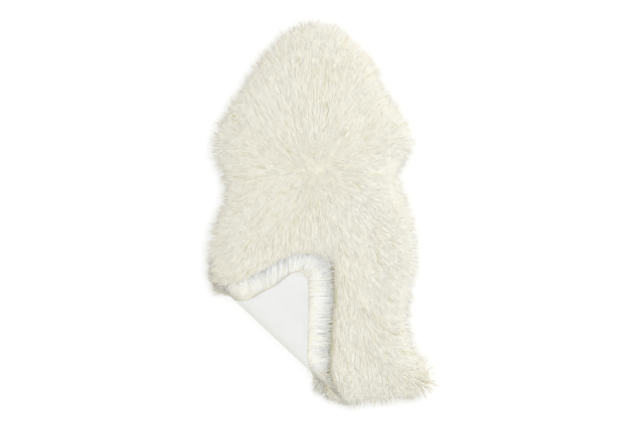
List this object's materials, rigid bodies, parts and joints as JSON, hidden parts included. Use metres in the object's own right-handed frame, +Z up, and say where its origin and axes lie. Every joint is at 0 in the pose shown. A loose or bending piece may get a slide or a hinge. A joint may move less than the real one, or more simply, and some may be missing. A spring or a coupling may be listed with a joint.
{
  "type": "sheepskin rug",
  "caption": "Long-wool sheepskin rug lying wool side up, with one hind corner folded over to show the suede underside.",
  "frame": {"origin": "middle of the rug's bounding box, on the floor it lies on", "axes": "+Y along the spine towards the neck, +X to the right seen from above, +Z up out of the wool"},
  "size_m": [0.5763, 0.9472, 0.0491],
  "materials": {
    "wool": "long soft wool in loose locks, warm cream white, matt with a faint silky sheen",
    "leather": "suede flesh side of the tanned skin, cool near-white, matt with a fine nap"
  },
  "bodies": {
    "root": {"sheepskin": "wool"}
  },
  "joints": []
}
